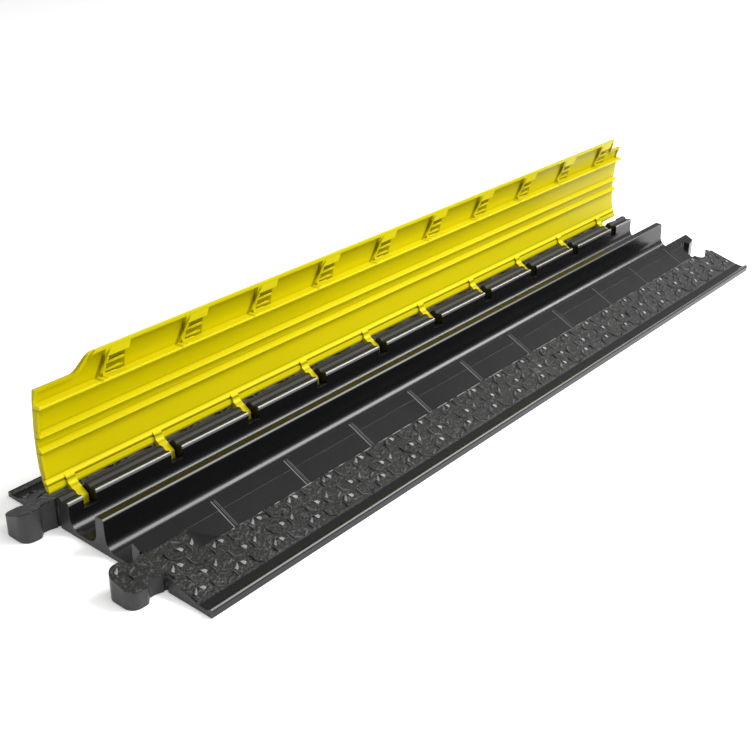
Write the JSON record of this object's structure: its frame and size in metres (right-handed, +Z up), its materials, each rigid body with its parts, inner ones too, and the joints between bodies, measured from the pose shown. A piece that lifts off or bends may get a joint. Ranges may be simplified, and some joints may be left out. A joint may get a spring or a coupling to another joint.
{
  "type": "floor cord cover",
  "caption": "Low ramp that carries cords across a floor in parallel channels, with a hinged lid standing open and dog-bone connectors at one end.",
  "frame": {"origin": "on the floor, under the middle of the body without its connectors", "axes": "+X along the cover towards the socket end, +Y across it from the front edge to the edge behind the lid, +Z up"},
  "size_m": [0.949, 0.2544, 0.139],
  "materials": {
    "black_moulding": "moulded, satin to glossy in the channels",
    "yellow_moulding": "moulded, satin"
  },
  "bodies": {
    "base": {"base": "black_moulding"},
    "lid": {"lid": "yellow_moulding"}
  },
  "joints": [
    {"name": "lid_hinge", "type": "hinge", "parent": "base", "child": "lid", "pos_m": [0, 0.0534, 0.02], "axis": [1, 0, 0], "range_deg": [0, 96]}
  ]
}
